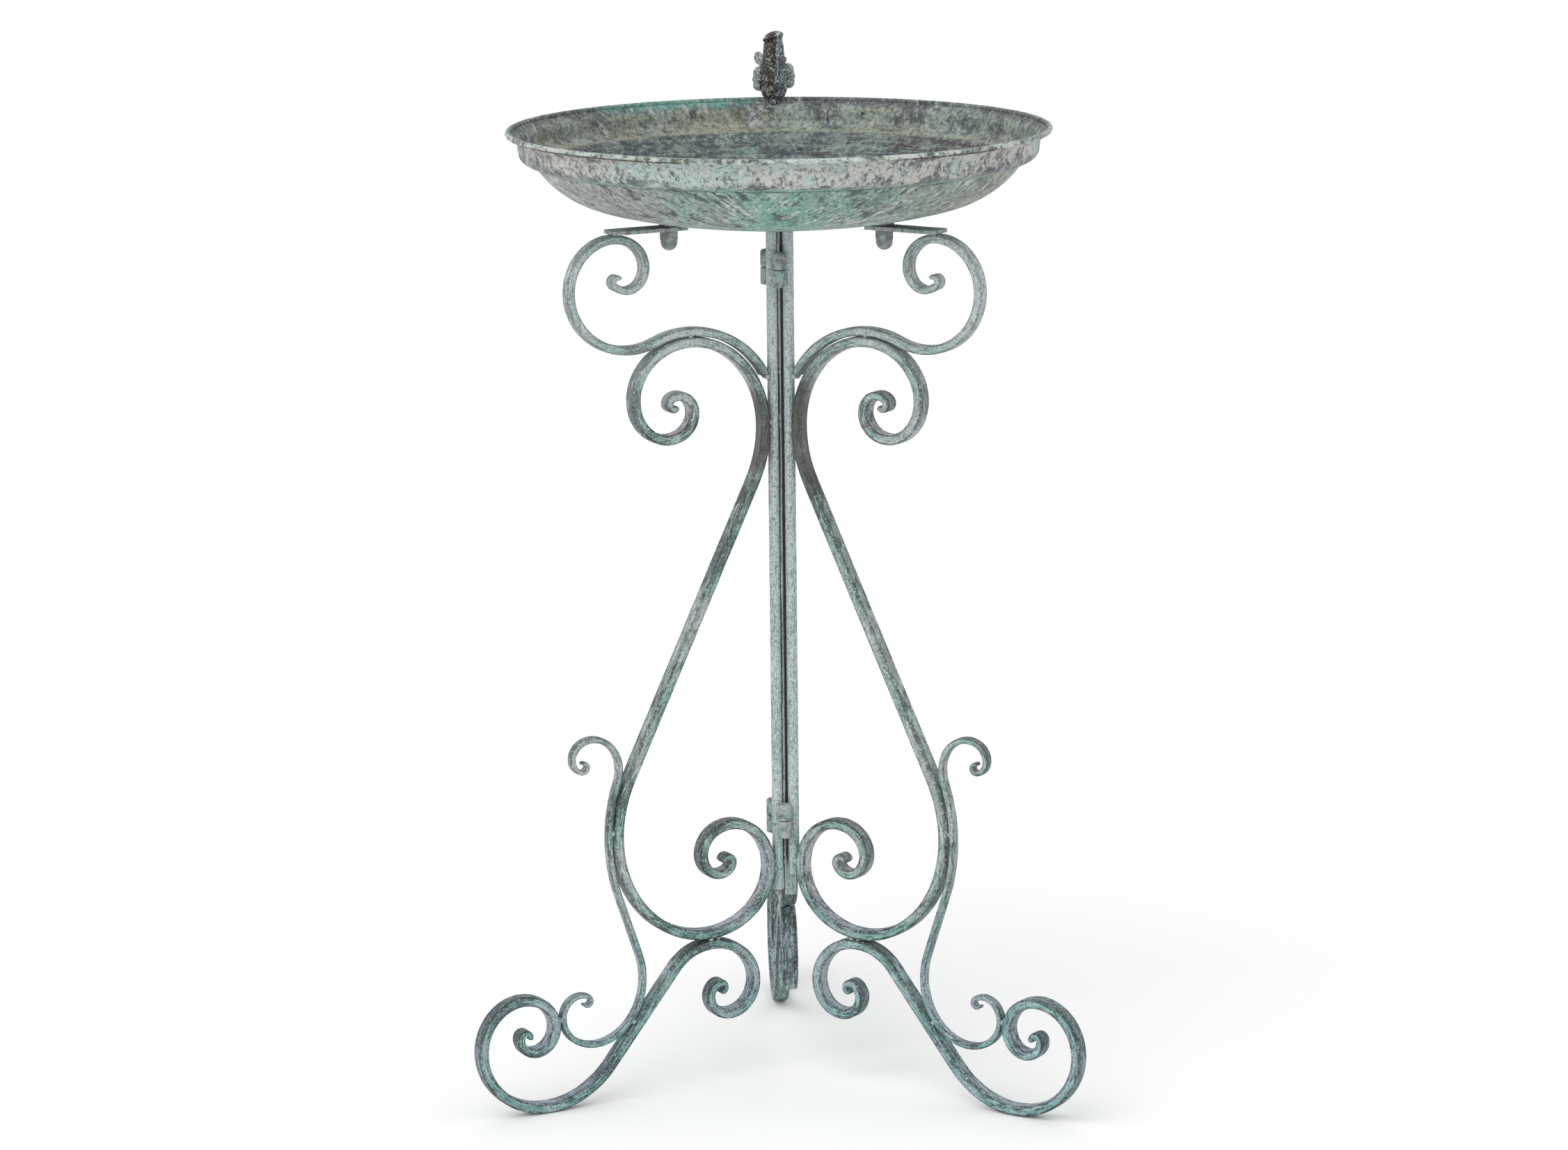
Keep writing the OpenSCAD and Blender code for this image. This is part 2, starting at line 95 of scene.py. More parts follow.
def srgb(r, g, b):
    return (r ** 2.2, g ** 2.2, b ** 2.2, 1.0)


def new_shader(name):
    """A material, a wire of places in the piece's own frame, and the surface to link to."""
    material = bpy.data.materials.new(name)
    material.use_nodes = True
    tree = material.node_tree
    surface = tree.nodes["Principled BSDF"]
    place = tree.nodes.new("ShaderNodeTexCoord")
    return material, Wire(tree, place.outputs["Object"]), surface


def noise(place, scale, detail, rough, shift=(0, 0, 0)):
    mapped = place.node("ShaderNodeMapping", {}, {"Vector": place, "Location": shift})
    return mapped.node("ShaderNodeTexNoise", {}, {
        "Vector": mapped, "Scale": scale, "Detail": detail, "Roughness": rough})


def vary(wire, much):
    """A noise's swing about its middle."""
    return (wire - 0.5) * much


def blend(share, a, b):
    return share.node("ShaderNodeMix", {"data_type": "RGBA"}, {0: share, 6: a, 7: b}, 2)


def link(wire, surface, name):
    wire.tree.links.new(wire.socket, surface.inputs[name])


def bump(height, surface, strength, distance):
    made = height.node("ShaderNodeBump", {}, {"Height": height, "Strength": strength, "Distance": distance})
    link(made, surface, "Normal")


def attribute(place, name):
    return place.node("ShaderNodeAttribute", {"attribute_name": name}, {}, "Fac")


def tinted(colour, share, by):
    """A colour darkened by another over a share."""
    multiply = {"data_type": "RGBA", "blend_type": "MULTIPLY"}
    return colour.node("ShaderNodeMix", multiply, {0: share, 6: colour, 7: by}, 2)


def verdigris_bar(name, shift, pallor, gap):
    """Turquoise on the side faces, dark slate outside a bend, lilac-grey inside it, streaked and specked."""
    material, place, surface = new_shader(name)
    along, across = attribute(place, "along"), attribute(place, "across")
    side, convex = attribute(place, "side"), attribute(place, "convex")
    run = place.node("ShaderNodeCombineXYZ", {}, {0: along * 62, 1: across * 1.9, 2: side * 1.9})
    scratch = place.node("ShaderNodeCombineXYZ", {}, {0: along * 210, 1: across * 2.6, 2: side * 2.6})
    cloud = noise(place, 48, 4, 0.6, shift=shift)
    streak = noise(run, 1.6, 5, 0.65, shift=shift)
    fine = noise(scratch, 1.8, 4, 0.65, shift=shift)
    grain = noise(place, 540, 5, 0.72, shift=shift)
    speck = noise(place, 1900, 2, 0.6, shift=shift)
    wiped = noise(place, 17, 3, 0.55, shift=shift)
    face = across * convex + vary(streak, 0.9)
    up = place.node("ShaderNodeSeparateXYZ", {}, {0: place}, 2)
    flank = (side * side + vary(streak, 0.5)).step(0.35, 0.80)
    colour = blend(cloud.step(0.42, 0.60), srgb(0.50, 0.55, 0.54), srgb(0.56, 0.65, 0.63))
    flank_colour = blend(wiped.step(0.42, 0.58), srgb(0.60, 0.64, 0.63), srgb(0.50, 0.67, 0.63))
    colour = blend(flank * 0.8, colour, flank_colour)
    colour = blend((face * -1).step(0.30, 0.85) * 0.85, colour, srgb(0.68, 0.68, 0.71))
    colour = blend((face + vary(wiped, 1.6)).step(0.45, 0.95) * 0.7, colour, srgb(0.30, 0.32, 0.34))
    dark = streak + vary(wiped, 1.1) + vary(fine, 0.4) + vary(cloud, 0.5)
    colour = blend(dark.step(0.52, 0.66) * 0.8, colour, srgb(0.24, 0.27, 0.29))
    light = 1 - streak - vary(wiped, 0.5) + vary(fine, 0.6) + vary(cloud, 0.4)
    light = light + up.step(0.48, 0.60) * 0.03
    colour = blend(light.step(0.53, 0.66) * 0.6, colour, srgb(0.79, 0.81, 0.83))
    colour = blend((fine + vary(streak, 1.2)).step(0.34, 0.50) * pallor, colour, srgb(0.76, 0.82, 0.82))
    bare = (1 - fine + vary(streak, 1.2)).step(0.55, 0.66)
    colour = blend(bare * (pallor * 0.8), colour, srgb(0.30, 0.42, 0.42))
    # Painted shade: dark lines along the bar's rounded corners, broken up by grain.
    edge_shade = (across * across + side * side + vary(streak, 1.2)).step(1.05, 1.55)
    colour = blend(edge_shade * grain.step(0.30, 0.54) * 0.75, colour, srgb(0.17, 0.20, 0.21))
    rust = (noise(place, 120, 4, 0.65, shift=shift) + grain * 0.3).step(0.78, 0.88)
    colour = blend(rust * 0.65, colour, srgb(0.35, 0.28, 0.20))
    colour = tinted(colour, 1 - up.step(0.06, 0.22), srgb(0.88, 0.96, 0.98))
    colour = blend(up.step(0.50, 0.60) * 0.22, colour, srgb(0.82, 0.87, 0.87))
    flecks = (grain + vary(fine, 0.5)).step(0.50, 0.62)
    colour = tinted(colour, flecks * 0.5, srgb(0.42, 0.45, 0.45))
    colour = tinted(colour, speck.step(0.55, 0.66) * 0.6, srgb(0.48, 0.50, 0.50))
    # Painted glints: small pale specks over the bars.
    colour = blend((1 - grain + vary(fine, 0.5)).step(0.56, 0.66) * 0.35, colour, srgb(0.76, 0.84, 0.82))
    # The bars are darker brown close to the posts, around the upper welds.
    level = place.node("ShaderNodeVectorMath", {"operation": "MULTIPLY"}, {0: place, 1: (1, 1, 0)})
    reach = level.node("ShaderNodeVectorMath", {"operation": "LENGTH"}, {0: level}, 1)
    near_post_dark = (1 - reach.step(0.022, 0.055)) * up.step(0.40, 0.46) * (1 - up.step(0.53, 0.56)) * (1 - pallor)
    colour = blend((near_post_dark + vary(cloud, 2)).step(0.45, 1.0) * 0.8, colour, srgb(0.23, 0.20, 0.19))
    if gap:
        # Painted shade: the side of each post facing the other posts is near black, for the shadowed gap.
        gap_shade = (across + vary(grain, 0.2)).step(0.40, 0.62) * up.step(post_end, post_end + 0.012)
        colour = blend(gap_shade, colour, srgb(0.10, 0.10, 0.10))
    link(colour, surface, "Base Color")
    link(flecks * 0.15 + speck * 0.25 + 0.36, surface, "Roughness")
    bump(speck * 0.3 + grain + streak, surface, 0.5, 0.0007)
    return material


post_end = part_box("right_post")[0].z
bar_paint = verdigris_bar("verdigris_bar", (3.1, 0.7, 5.2), 0.0, False)
post_paint = verdigris_bar("verdigris_post", (6.4, 2.2, 1.9), 0.85, True)


def bend_step(p, radius, turn):
    """The next point, (along, up, heading), after a short arc."""
    run = 2 * radius * math.sin(math.radians(abs(turn)) / 2)
    way = math.radians(p[2] + turn / 2)
    return (p[0] + run * math.cos(way), p[1] + run * math.sin(way), p[2] + turn)


def bend(start, first, last, turn):
    """Points along a bend that tightens evenly from one radius to the other, or a straight if turn is 0."""
    if turn == 0:
        ahead = math.radians(start[2])
        shares = np.linspace(0, 1, 2 + int(first / 4))
        across, up = first * math.cos(ahead), first * math.sin(ahead)
        return [(start[0] + across * s, start[1] + up * s, start[2]) for s in shares]
    degrees_a_step = 2.5
    n = math.ceil(abs(turn) / degrees_a_step)
    points = [start]
    for i in range(n):
        points.append(bend_step(points[-1], first * (last / first) ** ((i + 0.5) / n), turn / n))
    return points


def chain(start, bends):
    """One bend after the other."""
    points = [start]
    for item in bends:
        points += bend(points[-1], *item)[1:]
    return points


def turned(p):
    """The same point, heading back."""
    return (p[0], p[1], p[2] + 180)


def joined(inward, outward):
    """Two lines that leave one point, as a single line."""
    return [turned(p) for p in reversed(inward)] + outward[1:]


def beside(p, distance):
    """A point to the left of a heading."""
    way = math.radians(p[2])
    return (p[0] - distance * math.sin(way), p[1] + distance * math.cos(way), p[2])


def at_heading(points, way):
    """Where a line of points first heads a given way."""
    for a, b in zip(points, points[1:]):
        if a[2] != b[2] and (a[2] - way) * (b[2] - way) <= 0:
            share = (way - a[2]) / (b[2] - a[2])
            return tuple(a[i] + share * (b[i] - a[i]) for i in range(3))
    return points[-1]


def new_tree(name, inputs):
    """A node tree with the given inputs and one output; gives the tree and its inputs as wires."""
    tree = bpy.data.node_groups.new(name, "GeometryNodeTree")
    for label, kind in inputs.items():
        tree.interface.new_socket(label, in_out="INPUT", socket_type=f"NodeSocket{kind}")
    tree.interface.new_socket("Made", in_out="OUTPUT", socket_type="NodeSocketGeometry")
    given = tree.nodes.new("NodeGroupInput")
    return tree, {s.name: Wire(tree, s) for s in given.outputs if s.name}


def close_tree(tree, made, paint):
    """Makes instances real, sets the paint and links the output."""
    made = made.node("GeometryNodeRealizeInstances", {}, {0: made})
    made = made.node("GeometryNodeSetMaterial", {}, {"Geometry": made, "Material": paint})
    result = tree.nodes.new("NodeGroupOutput")
    tree.links.new(made.socket, result.inputs["Made"])
    return tree


def bar_tree():
    """Sweeps a rounded section along a flat line, thins it to the line's own shares and beats it lightly."""
    tree, take = new_tree("bent_bar", {
        "Line": "Geometry", "Thickness": "Float", "Width": "Float", "Corner": "Float", "Relief": "Float",
        "Paint": "Material"})
    line = take["Line"]
    curve = line.node("GeometryNodeMeshToCurve", {}, {0: line})
    curve = curve.node("GeometryNodeSetCurveNormal", {"mode": "Z_UP"}, {0: curve})
    thickness, width = take["Thickness"], take["Width"]
    section = curve.node("GeometryNodeCurvePrimitiveQuadrilateral", {}, {0: thickness, 1: width})
    section = section.node("GeometryNodeFilletCurve", {"mode": "POLY"}, {
        "Curve": section, "Count": 5, "Radius": take["Corner"]})
    section = section.node("GeometryNodeResampleCurve", {}, {"Curve": section, "Count": 44})
    swept = curve.node("GeometryNodeCurveToMesh", {}, {
        "Curve": curve, "Profile Curve": section, "Fill Caps": True})
    place = swept.node("GeometryNodeInputPosition")

    def stored(name, kind="FLOAT"):
        return swept.node("GeometryNodeInputNamedAttribute", {"data_type": kind}, {"Name": name})

    centre, outward = stored("centre", "FLOAT_VECTOR"), stored("outward", "FLOAT_VECTOR")
    grow, broad = stored("grow"), stored("broad")
    offset = place.node("ShaderNodeVectorMath", {"operation": "SUBTRACT"}, {0: place, 1: centre})
    depth = offset.node("ShaderNodeSeparateXYZ", {}, {0: offset}, 2)
    lean = offset.node("ShaderNodeVectorMath", {"operation": "DOT_PRODUCT"}, {
        0: offset, 1: outward}, "Value")
    for name, value in (("across", lean / (thickness * 0.5)), ("side", depth / (width * 0.5))):
        swept = swept.node("GeometryNodeStoreNamedAttribute", {"data_type": "FLOAT", "domain": "POINT"},
                           {"Geometry": swept, "Name": name, "Value": value})
    shares = grow.node("ShaderNodeCombineXYZ", {}, {0: grow, 1: grow, 2: broad})
    thinned = offset.node("ShaderNodeVectorMath", {"operation": "MULTIPLY_ADD"}, {
        0: offset, 1: shares, 2: centre})
    swept = swept.node("GeometryNodeSetPosition", {}, {"Geometry": swept, "Position": thinned})
    beat = place.node("ShaderNodeTexNoise", {}, {"Vector": place, "Scale": 130.0, "Detail": 2.0})
    normal = place.node("GeometryNodeInputNormal")
    dent = normal.node("ShaderNodeVectorMath", {"operation": "SCALE"}, {
        0: normal, "Scale": (beat - 1.0) * take["Relief"]})
    swept = swept.node("GeometryNodeSetPosition", {}, {"Geometry": swept, "Offset": dent})
    return close_tree(tree, swept, take["Paint"])


bent_bar = bar_tree()


def run_tree(tree, mesh, values):
    """Evaluates a node tree over a mesh and gives the result as a plain mesh."""
    carrier = bpy.data.objects.new("carrier", mesh)
    bpy.context.scene.collection.objects.link(carrier)
    modifier = carrier.modifiers.new("tree", "NODES")
    modifier.node_group = tree
    for item in tree.interface.items_tree:
        if item.in_out == "INPUT" and item.name in values:
            modifier[item.identifier] = values[item.name]
    carrier.update_tag()
    graph = bpy.context.evaluated_depsgraph_get()
    made = bpy.data.meshes.new_from_object(
        carrier.evaluated_get(graph), preserve_all_data_layers=True, depsgraph=graph)
    carrier.modifiers.remove(modifier)
    bpy.data.objects.remove(carrier)
    work = bmesh.new()
    work.from_mesh(made)
    bmesh.ops.recalc_face_normals(work, faces=work.faces)
    work.to_mesh(made)
    work.free()
    made.shade_smooth()
    return made


def store(mesh, name, values):
    """Keeps a number for each point of a mesh."""
    layer = mesh.attributes.new(name, "FLOAT", "POINT")
    layer.data.foreach_set("value", np.array(values, np.float32))


def line_mesh(points):
    """A mesh that is only a line of points."""
    mesh = bpy.data.meshes.new("line")
    mesh.from_pydata([tuple(p) for p in points], [(i, i + 1) for i in range(len(points) - 1)], [])
    return mesh


tip_share = 0.48
taper_turn = 360
nose_length = 0.0022
bow_radius = 0.035
bow_spread = 0.014


def bar_mesh(line, thick, width, corner, eyes, relief=0.25, paint=bar_paint):
    """A bar bent along a flat line in millimetres; an eye end is drawn out thin and rounded off."""
    spots = np.array([(p[0], p[1], 0.0) for p in line]) / 1000
    length = np.concatenate([[0], np.cumsum(np.linalg.norm(np.diff(spots, axis=0), axis=1))])
    turn = np.concatenate([[0], np.cumsum(np.abs(np.diff([p[2] for p in line])))])
    grow, broad = np.ones(len(line)), np.ones(len(line))
    for eye, arc, dist in ((eyes[0], turn, length), (eyes[1], turn[-1] - turn, length[-1] - length)):
        if eye:
            grow = np.minimum(grow, tip_share + (1 - tip_share) * np.clip(arc / taper_turn, 0, 1))
            nose = np.clip(dist / nose_length, 0, 1)
            round_off = np.sqrt(1 - (1 - nose) ** 2) * 0.8 + 0.2
            grow, broad = grow * round_off, broad * round_off
    ahead = np.radians(np.diff([p[2] for p in line], append=line[-1][2]))
    bow = np.clip(ahead / np.maximum(np.diff(length, append=length[-1] + 1), 1e-5) * bow_radius, -1, 1)
    near = np.exp(-((length[:, None] - length[None, :]) / bow_spread) ** 2) * np.gradient(length)[None, :]
    convex = np.clip(-1.4 * (near @ bow) / near.sum(axis=1), -1, 1)
    outward = [(-math.sin(math.radians(p[2])), math.cos(math.radians(p[2])), 0.0) for p in line]
    mesh = line_mesh(spots)
    for name, values in (("centre", spots), ("outward", outward)):
        layer = mesh.attributes.new(name, "FLOAT_VECTOR", "POINT")
        layer.data.foreach_set("vector", np.array(values, np.float32).ravel())
    for name, values in (("grow", grow), ("broad", broad), ("along", length), ("convex", convex)):
        store(mesh, name, values)
    return run_tree(bent_bar, mesh, {
        "Thickness": thick / 1000, "Width": width / 1000, "Corner": corner / 1000,
        "Relief": relief / 1000, "Paint": paint})


hinge_ring = 0.0118
side_hinge_way = math.radians(150)
side_hinge = Vector((hinge_ring * math.cos(side_hinge_way), hinge_ring * math.sin(side_hinge_way), 0))
# The back leg is swung a few degrees past an even spread about its own hinge, and stands 3 mm to the right.
back_turn = math.radians(6)
back_shift = Vector((0.003, 0, 0))
back_swing = (Matrix.Translation(side_hinge) @ Matrix.Rotation(back_turn, 4, "Z")
              @ Matrix.Translation(back_shift - side_hinge))
stand_up = Matrix.Rotation(math.radians(90), 4, "X")
# Each leg's body and the turn of its plane round the axis.
LEGS = {
    "left": ("stand", Matrix.Rotation(math.radians(210), 4, "Z")),
    "right": ("right_leg", Matrix.Rotation(math.radians(330), 4, "Z")),
    "back": ("back_leg", back_swing @ Matrix.Rotation(math.radians(90), 4, "Z")),
}


def show(mesh, name, body, node):
    """Puts a mesh in the scene as the piece that takes a CAD node's place."""
    made = bpy.data.objects.new(name, mesh)
    bpy.context.scene.collection.objects.link(made)
    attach(made, body)
    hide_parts(node)


def on_legs(mesh, kind):
    """Stands a bar, drawn flat, on each of the three legs."""
    for leg, (body, turn) in LEGS.items():
        copy = mesh.copy()
        copy.transform(turn @ stand_up)
        show(copy, f"{leg}_{kind}_bar", body, f"{leg}_{kind}")


post_size = 9
post_corner = 4.4
post_reach = 7
for leg, (body, turn) in LEGS.items():
    low, high = [v.z * 1000 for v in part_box(f"{leg}_post")]
    post_line = [(post_reach, z, 90) for z in np.linspace(low, high, 160)]
    post_mesh = bar_mesh(post_line, post_size, post_size, post_corner, (False, False), 0.3, post_paint)
    post_mesh.transform(turn @ stand_up)
    show(post_mesh, f"{leg}_post_bar", body, f"{leg}_post")

# Main scrolls: the long S of each leg, bent hot from 8 x 13 mm bar, with both ends drawn out to an eye.
# Each touches its post twice and is welded there, and it is painted in the same finish.
weld_gap = 0.25
post_face = post_reach + post_size / 2
# Thickness, width and corner radius, as for the other bars further on.
main_bar = (8, 13, 2.3)
contact = post_face + main_bar[0] / 2 + weld_gap
weld_height = 512
run_lean = 26.25
bar_roll = (4.9, 2.7, -220)
main_upper = chain((contact, weld_height, 90), [(79.4, 8.8, -496), bar_roll])
main_join = (95, 95, run_lean)
main_loop = (112.7, 40, -(run_lean + 180))
join_out = bend((0, 0, -90), *main_join)[-1][0]
loop_out = bend((0, 0, run_lean - 90), *main_loop)[-1][0]
main_run = (-(join_out + loop_out) / math.sin(math.radians(run_lean)), 0, 0)
run_points = chain((contact, weld_height, -90), [main_join, main_run])
loop_points = bend(run_points[-1], *main_loop)
curl_points = chain(loop_points[-1], [(42.6, 8.9, -345), bar_roll])
main_line = joined(main_upper, run_points + loop_points[1:] + curl_points[1:])
on_legs(bar_mesh(main_line, *main_bar, (True, True)), "main_scroll")

# Arm scrolls: thinner 7 x 11 mm bar that rides over the top of the main scroll and curls up under the bowl.
# One end is cut square and welded to the post, and the other is drawn out to an eye.
arm_bar = (7, 11, 2.2)
main_top = at_heading(main_upper, 0.35)
arm_seat = beside(main_top, (main_bar[0] + arm_bar[0]) / 2 + weld_gap)
arm_end = post_face + arm_bar[0] / 2 + weld_gap
crest = 71.6
crest_turn = math.degrees(math.asin((arm_seat[0] - arm_end) / crest))
arm_inward = chain(turned(arm_seat), [(crest, crest, crest_turn)])
crest_out = chain(arm_seat, [(crest, crest, -23.5)])
arm_loop = chain(crest_out[-1], [(55.4, 33.3, 203.5), (29, 11.2, 206), (4.5, 0, 0), (4.6, 2.5, 235)])
arm_line = joined(arm_inward, crest_out + arm_loop[1:])
on_legs(bar_mesh(arm_line, *arm_bar, (False, True)), "arm_scroll")

# Foot scrolls: the same 8 x 13 mm bar in an S, with a small curl inside and a large one on the ground.
# They are welded under the main scroll's loop, and the paint is darker and bluer down there.
foot_lean = 51
foot_weld = at_heading(loop_points, -181.6)
foot_seat = beside(foot_weld, main_bar[0] + weld_gap)
foot_roll = (4.9, 2.7, 220)
foot_curl = (75.2, 9.8, 506)
foot_inward = chain(foot_seat, [(42.3, 9.5, 338), foot_roll])
shoulder = chain(turned(foot_seat), [(40, 40, -(foot_lean + foot_seat[2] + 180))])
foot_curl_points = bend((0, 0, -foot_lean), *foot_curl)
curl_low = min(beside(p, -main_bar[0] / 2)[1] for p in foot_curl_points)
foot_run = ((shoulder[-1][1] + curl_low) / math.sin(math.radians(foot_lean)), 0, 0)
foot_outward = chain(shoulder[-1], [foot_run, foot_curl, foot_roll])
foot_line = joined(foot_inward, shoulder + foot_outward[1:])
on_legs(bar_mesh(foot_line, *main_bar, (True, True)), "foot_scroll")

# Trim scrolls: thin 5 x 8 mm bar in a loose S on the outside of each leg, welded where the main scroll
# is widest and again where its own lower loop rests on the foot. Both ends are drawn out to eyes.
trim_bar = (5, 8, 1.7)
trim_gap = (main_bar[0] + trim_bar[0]) / 2 + weld_gap
trim_sway = 18.7
trim_flare = 18.3
trim_bow = 135
trim_weld = at_heading(loop_points, -87.3)
trim_seat = beside(trim_weld, trim_gap)
trim_upper = chain(turned(trim_seat), [
    (trim_bow, trim_bow, trim_flare - 90 - trim_seat[2]), (3, 0, 0), (33.1, 8.2, -272), (4.6, 2.4, -245)])
trim_hug = chain(trim_seat, [(trim_bow, trim_bow, -(90 + trim_sway + trim_seat[2]))])
trim_loop = (64.2, 18.8, 180 + trim_sway)
trim_low = at_heading(bend((0, 0, -90 - trim_sway), *trim_loop), -foot_lean)
lean = math.radians(foot_lean)
above = ((trim_hug[-1][0] + trim_low[0] - shoulder[-1][0]) * math.sin(lean)
         + (trim_hug[-1][1] + trim_low[1] - shoulder[-1][1]) * math.cos(lean))
trim_drop = ((above - trim_gap) / math.sin(math.radians(trim_sway + 90 - foot_lean)), 0, 0)
trim_lower = chain(trim_hug[-1], [trim_drop, trim_loop, (18.8, 12.2, 108), (1.5, 0, 0), (4.6, 2.4, 245)])
trim_line = joined(trim_upper, trim_hug + trim_lower[1:])
on_legs(bar_mesh(trim_line, *trim_bar, (True, True)), "trim_scroll")

# Welds: short beads of weld at each place where two bars touch, left rough and painted over.
# Each joint is tacked by one or two pairs of drops, a drop to each side of the leg's plane.


def weld_tree():
    """Sets a rough drop of uneven size on every spot."""
    tree, take = new_tree("weld_drops", {"Spots": "Geometry", "Drop": "Float", "Paint": "Material"})
    spots = take["Spots"]
    drop = spots.node("GeometryNodeMeshIcoSphere", {}, {"Radius": take["Drop"], "Subdivisions": 3})
    size = spots.node("FunctionNodeRandomValue", {"data_type": "FLOAT"}, {2: 0.75, 3: 1.2, "Seed": 4}, 1)
    made = spots.node("GeometryNodeInstanceOnPoints", {}, {"Points": spots, "Instance": drop, "Scale": size})
    made = made.node("GeometryNodeRealizeInstances", {}, {0: made})
    place = made.node("GeometryNodeInputPosition")
    rough = place.node("ShaderNodeTexNoise", {}, {"Vector": place, "Scale": 900.0, "Detail": 2.0})
    normal = place.node("GeometryNodeInputNormal")
    lump = normal.node("ShaderNodeVectorMath", {"operation": "SCALE"}, {
        0: normal, "Scale": (rough - 0.6) * 0.0012})
    made = made.node("GeometryNodeSetPosition", {}, {"Geometry": made, "Offset": lump})
    return close_tree(tree, made, take["Paint"])


weld_drops = weld_tree()


def verdigris_plain(name, shift, plain, bloom, rubbed):
    """The stand's paint on small pieces, with a green bloom and dark rubbed patches."""
    material, place, surface = new_shader(name)
    patches = noise(place, 60, 5, 0.62, shift=shift)
    cloud = noise(place, 190, 6, 0.70, shift=shift)
    grain = noise(place, 700, 4, 0.7)
    colour = blend(patches.step(0.44, 0.62), plain, bloom)
    colour = blend(cloud.step(0.46, 0.60) * rubbed, colour, srgb(0.29, 0.31, 0.33))
    colour = blend(grain.step(0.55, 0.75) * 0.5, colour, srgb(0.70, 0.71, 0.72))
    link(colour, surface, "Base Color")
    link(grain * 0.25 + 0.42, surface, "Roughness")
    bump(grain + cloud, surface, 0.4, 0.0005)
    return material


weld_paint = verdigris_plain(
    "verdigris_weld", (1.3, 2.2, 0.4), srgb(0.66, 0.66, 0.69), srgb(0.64, 0.71, 0.70), 0.45)
bead_reach = post_face + 0.2
low_height = loop_points[-1][1]
arm_height = arm_inward[-1][1]
trim_rest = beside(at_heading(trim_lower, -foot_lean), -2.6)
trim_side = beside(at_heading(trim_lower, 90), -3.4)
post_heights = [height + shift for height in (weld_height, low_height) for shift in (-3, 3)]
# Each weld is a spot in the leg's own plane and how far to each side of that plane its two drops sit.
post_welds = [((bead_reach, height), 3.6) for height in post_heights]
arm_welds = [((13.0, arm_height - 3), 2.6), ((12.4, arm_height + 2), 2.6), (beside(main_top, 4.1), 3.4)]
tab_welds = [((139, 666.0), 2.8), ((135, 665.6), 2.8)]
foot_welds = [(beside(foot_weld, 4.1), 3.8), (beside(at_heading(loop_points, -187), 4.6), 3.4)]
trim_welds = [(beside(trim_weld, 4.1), 2.4), (trim_rest, 2.4), (trim_side, 2.4)]
drop_radius = 0.0021
weld_spots = []
for spot, depth in post_welds + arm_welds + tab_welds + foot_welds + trim_welds:
    for sign in (-1, 1):
        weld_spots.append((spot[0] / 1000, spot[1] / 1000, sign * depth / 1000))
for leg, (body, turn) in LEGS.items():
    spots = bpy.data.meshes.new("spots")
    spots.from_pydata([turn @ stand_up @ Vector(s) for s in weld_spots], [], [])
    drops = run_tree(weld_drops, spots, {"Drop": drop_radius, "Paint": weld_paint})
    show(drops, f"{leg}_weld_drops", body, f"{leg}_welds")

# Hinges: four weld-on barrel hinges, each a fixed lower barrel, a pin and a moving upper barrel.
# All are turned steel, the barrels painted over with the stand and the pins zinc-plated.
# The moving barrels belong to the right and back legs.
hinge_paint = verdigris_plain(
    "verdigris_hinge", (4.2, 0.1, 1.7), srgb(0.60, 0.62, 0.63), srgb(0.53, 0.66, 0.63), 0.75)
sharp = math.radians(35)


def dressed(node, paint, soften):
    """A merged copy of a CAD node with its edges eased."""
    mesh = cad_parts[node].data.copy()
    work = bmesh.new()
    work.from_mesh(mesh)
    bmesh.ops.remove_doubles(work, verts=work.verts, dist=1e-6)
    bmesh.ops.dissolve_limit(work, angle_limit=math.radians(0.5), verts=work.verts, edges=work.edges)
    edges = [e for e in work.edges if len(e.link_faces) == 2 and e.calc_face_angle() > sharp]
    bmesh.ops.bevel(work, geom=edges, offset=soften, segments=3, profile=0.5,
                    affect="EDGES", clamp_overlap=True)
    bmesh.ops.triangulate(work, faces=work.faces)
    work.to_mesh(mesh)
    work.free()
    mesh.materials.clear()
    mesh.materials.append(paint)
    mesh.shade_smooth()
    mesh.set_sharp_from_angle(angle=math.radians(40))
    return mesh


def zinc_shader():
    """Dull zinc plate with a green bloom."""
    material, place, surface = new_shader("zinc_steel")
    cloud = noise(place, 190, 5, 0.65)
    grain = noise(place, 900, 3, 0.65)
    colour = blend(cloud.step(0.42, 0.60), srgb(0.46, 0.49, 0.49), srgb(0.60, 0.61, 0.62))
    colour = blend((cloud + grain * 0.4).step(0.72, 0.86) * 0.6, colour, srgb(0.50, 0.63, 0.60))
    colour = tinted(colour, grain.step(0.52, 0.64) * 0.6, srgb(0.5, 0.5, 0.5))
    link(colour, surface, "Base Color")
    link(grain * 0.3 + 0.3, surface, "Roughness")
    surface.inputs["Metallic"].default_value = 0.35
    bump(grain + cloud, surface, 0.3, 0.0004)
    return material


steel = zinc_shader()
for hinge, moving in (("front", "right_leg"), ("side", "back_leg")):
    for level in ("upper", "lower"):
        for piece, body, paint, slot in (
                ("barrel_fixed", "stand", hinge_paint, "verdigris_iron"),
                ("barrel_moving", moving, hinge_paint, "verdigris_iron"),
                ("pin", "stand", steel, "zinc_steel")):
            node = f"{hinge}_{level}_{piece}"
            show(dressed(node, paint, soften=0.0006), f"{node}_turned", body, node)

# Tabs: flats of 18 x 3 mm steel that carry the bowl, holed on the left leg and slotted on the other two,
# so that those two can swing off the bowl's studs. They are welded on top of the arms and painted with them.
for leg, (body, turn) in LEGS.items():
    show(dressed(f"{leg}_tab", hinge_paint, soften=0.0005), f"{leg}_tab_flat", body, f"{leg}_tab")
